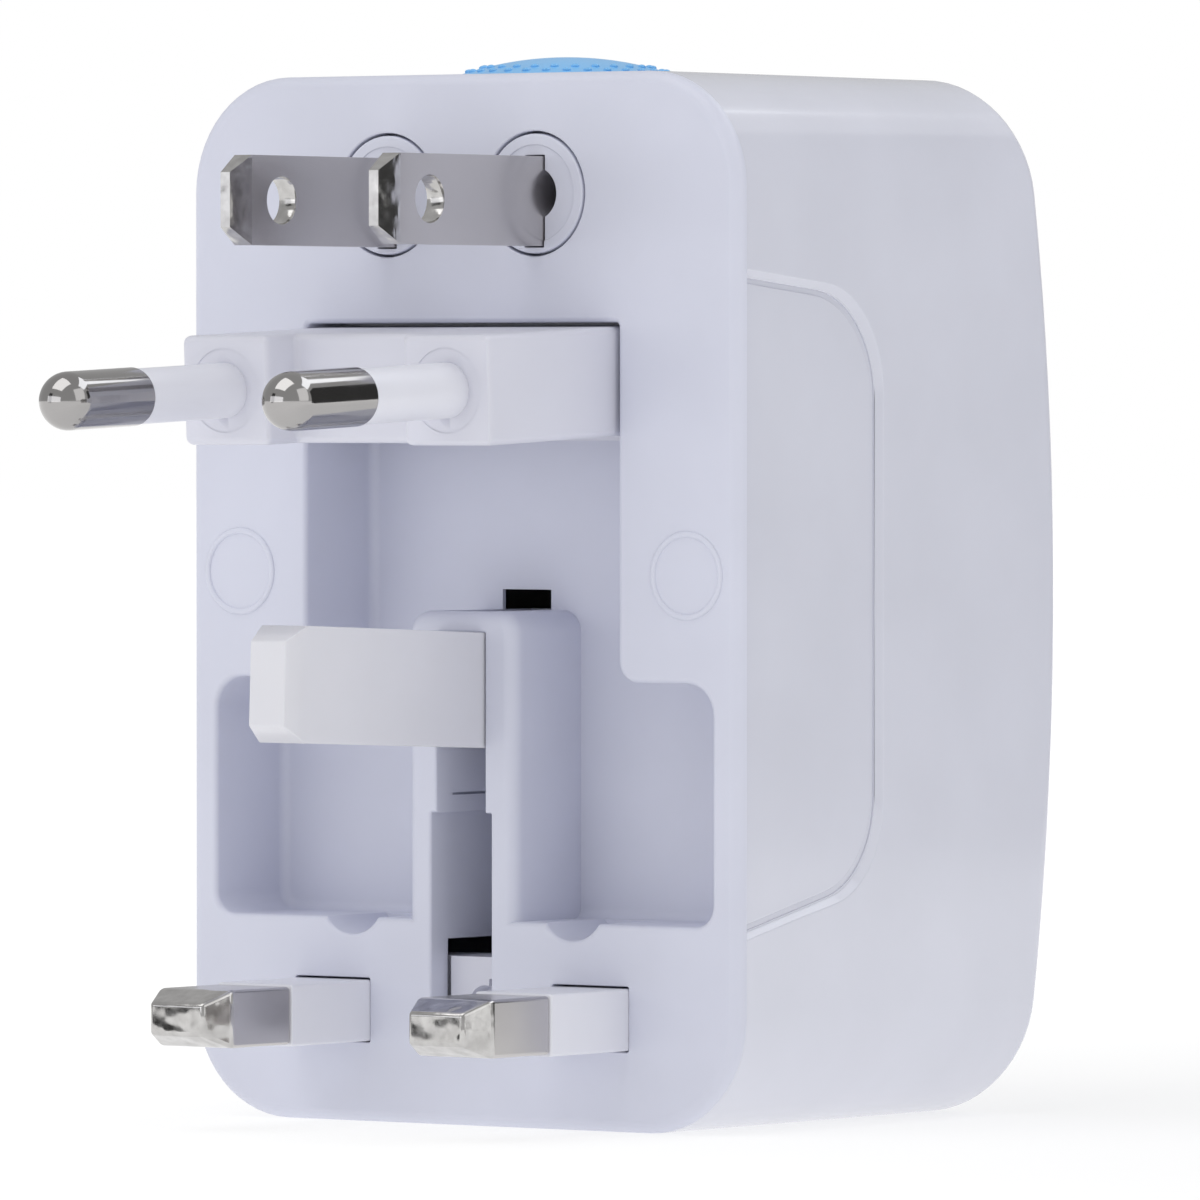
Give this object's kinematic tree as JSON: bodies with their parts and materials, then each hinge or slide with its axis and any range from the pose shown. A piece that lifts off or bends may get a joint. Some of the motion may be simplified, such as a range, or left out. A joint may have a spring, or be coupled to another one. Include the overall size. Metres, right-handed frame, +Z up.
{
  "type": "universal travel adapter",
  "caption": "Pocket mains adapter box with folding and sliding plug pins of several standards on one face and a universal socket behind.",
  "frame": {"origin": "centre of the flat bottom face, at the middle of the body's depth from plug face to crown", "axes": "+Z up, -Y out of the plug face towards the wall outlet, +Y out of the socket face, +X to the right seen from the plug side"},
  "size_m": [0.0472, 0.0718, 0.0739],
  "materials": {
    "face_plastic": "fine matte moulded",
    "shell_plastic": "glossy moulded",
    "socket_plastic": "fine matte moulded",
    "inner_plastic": "plain moulded",
    "pin_plastic": "satin moulded",
    "sleeve_plastic": "smooth moulded",
    "earth_plastic": "satin moulded",
    "button_plastic": "satin moulded",
    "pin_nickel": "polished nickel plate",
    "blade_nickel": "satin nickel plate",
    "contact_brass": "stamped",
    "spring_steel": "drawn"
  },
  "bodies": {
    "housing": {"rear_plate": "face_plastic", "main_shell": "shell_plastic", "socket_plate": "socket_plastic", "contact_frame": "inner_plastic", "shutter_spring": "spring_steel", "live_contact": "contact_brass", "neutral_contact": "contact_brass", "live_bus": "contact_brass", "neutral_bus": "contact_brass", "eu_axle_left": "spring_steel", "eu_axle_right": "spring_steel", "earth_axle": "spring_steel", "button_spring": "spring_steel", "screw_cap_left": "face_plastic", "screw_cap_right": "face_plastic", "case_screws": "spring_steel"},
    "eu_plug": {"eu_block": "pin_plastic", "eu_pin_left": "pin_nickel", "eu_pin_right": "pin_nickel", "eu_sleeve_left": "sleeve_plastic", "eu_sleeve_right": "sleeve_plastic"},
    "earth": {"earth_pin": "earth_plastic"},
    "uk_plug": {"uk_carriage": "pin_plastic", "uk_blade_left": "pin_nickel", "uk_blade_right": "pin_nickel", "uk_sleeve_left": "sleeve_plastic", "uk_sleeve_right": "sleeve_plastic"},
    "us_slider": {"us_carriage": "pin_plastic"},
    "blade_left": {"us_blade_left": "blade_nickel"},
    "blade_right": {"us_blade_right": "blade_nickel"},
    "disc_left": {"us_disc_left": "face_plastic"},
    "disc_right": {"us_disc_right": "face_plastic"},
    "button": {"us_button": "button_plastic"},
    "shutter": {"shutter": "inner_plastic"}
  },
  "joints": [
    {"name": "eu_fold", "type": "hinge", "parent": "housing", "child": "eu_plug", "pos_m": [0, -0.0155, 0.05145], "axis": [1, 0, 0], "range_deg": [0, 87.6]},
    {"name": "earth_fold", "type": "hinge", "parent": "housing", "child": "earth", "pos_m": [0, -0.0159, 0.03189], "axis": [1, 0, 0], "range_deg": [0, 90]},
    {"name": "uk_slide", "type": "slide", "parent": "housing", "child": "uk_plug", "axis": [0, 1, 0], "range_m": [0, 0.0176]},
    {"name": "us_slide", "type": "slide", "parent": "housing", "child": "us_slider", "axis": [0, 1, 0], "range_m": [0, 0.0183]},
    {"name": "left_blade_turn", "type": "hinge", "parent": "us_slider", "child": "blade_left", "pos_m": [-0.00635, -0.0193, 0.0642], "axis": [0, 1, 0], "range_deg": [0, 30]},
    {"name": "right_blade_turn", "type": "hinge", "parent": "us_slider", "child": "blade_right", "pos_m": [0.00635, -0.0193, 0.0642], "axis": [0, -1, 0], "range_deg": [0, 30]},
    {"name": "left_disc_turn", "type": "hinge", "parent": "housing", "child": "disc_left", "pos_m": [-0.00635, -0.0193, 0.0642], "axis": [0, 1, 0], "range_deg": [0, 30]},
    {"name": "right_disc_turn", "type": "hinge", "parent": "housing", "child": "disc_right", "pos_m": [0.00635, -0.0193, 0.0642], "axis": [0, -1, 0], "range_deg": [0, 30]},
    {"name": "button_press", "type": "slide", "parent": "housing", "child": "button", "axis": [0, 0, -1], "range_m": [0, 0.001], "stiffness_N_per_m": 1500, "springref_m": -0.0005, "deforming": ["button_spring"]},
    {"name": "shutter_slide", "type": "slide", "parent": "housing", "child": "shutter", "axis": [0, 0, 1], "range_m": [0, 0.006], "stiffness_N_per_m": 100, "springref_m": -0.002, "deforming": ["shutter_spring"]}
  ],
  "couplings": [
    {"joint": "uk_slide", "follows": "earth_fold", "m_per_rad": 0.0112},
    {"joint": "left_disc_turn", "follows": "left_blade_turn", "ratio": 1},
    {"joint": "right_disc_turn", "follows": "right_blade_turn", "ratio": 1}
  ]
}
